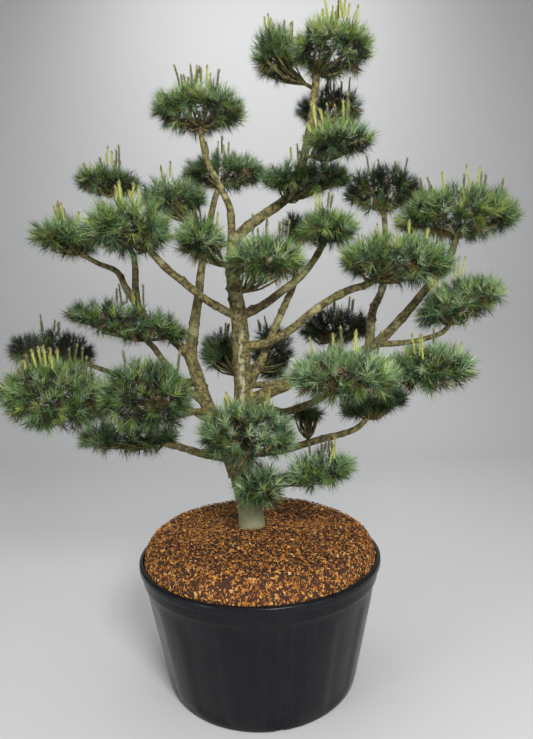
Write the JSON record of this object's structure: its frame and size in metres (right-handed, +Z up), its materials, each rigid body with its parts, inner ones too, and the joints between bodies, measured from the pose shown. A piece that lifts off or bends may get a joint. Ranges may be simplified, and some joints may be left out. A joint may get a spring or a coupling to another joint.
{
  "type": "cloud-pruned glauca japanese white pine in a nursery pot",
  "caption": "Cloud-pruned blue-green white pine: leaning trunk, curved boughs that end in flattened needle pads with upright candles, in a round black plastic nursery pot with bark mulch.",
  "frame": {"origin": "centre of the pot's flat underside, on the floor", "axes": "+Z up, +X to the right of the tree's front, +Y towards its back"},
  "size_m": [2.0985, 0.9959, 2.5186],
  "materials": {
    "pot_plastic": "charcoal black moulded plastic with a satin sheen",
    "mulch": "orange-brown shredded bark chips",
    "bark": "olive-brown young pine bark with pale patches and knots",
    "needles": "blue-green pine needles with yellow-green candles"
  },
  "bodies": {
    "root": {"pot": "pot_plastic", "mulch": "mulch", "trunk": "bark", "leader": "bark", "bough_top_left": "bark", "bough_left_main": "bark", "bough_back_left": "bark", "bough_left_mid": "bark", "bough_far_left": "bark", "bough_left_low": "bark", "bough_left_front": "bark", "bough_left_outer": "bark", "bough_left_base": "bark", "bough_left_back": "bark", "bough_front_left": "bark", "bough_right_long": "bark", "bough_right_cross": "bark", "bough_right_rise": "bark", "bough_right_low": "bark", "bough_right_base": "bark", "bough_right_back": "bark", "bough_right_up": "bark", "bough_right_small": "bark", "bough_back_right": "bark", "crown_front": "needles", "crown_left": "needles", "crown_back": "needles", "crown_low": "needles", "centre_high": "needles", "left_top": "needles", "left_back_high": "needles", "left_back_low": "needles", "left_high": "needles", "left_front": "needles", "far_left": "needles", "centre_left": "needles", "centre_front": "needles", "right_back_high": "needles", "right_high": "needles", "right_front": "needles", "right_front_inner": "needles", "right_inner": "needles", "right_small": "needles", "right_low_front": "needles", "right_low_outer": "needles", "right_low_under": "needles", "right_low_inner": "needles", "back_right": "needles", "back_left": "needles", "back_middle": "needles", "left_mid": "needles", "left_back_small": "needles", "left_low_outer": "needles", "left_low_front": "needles", "left_low_under": "needles", "foot_front": "needles", "foot_low": "needles", "foot_right": "needles"}
  },
  "joints": []
}
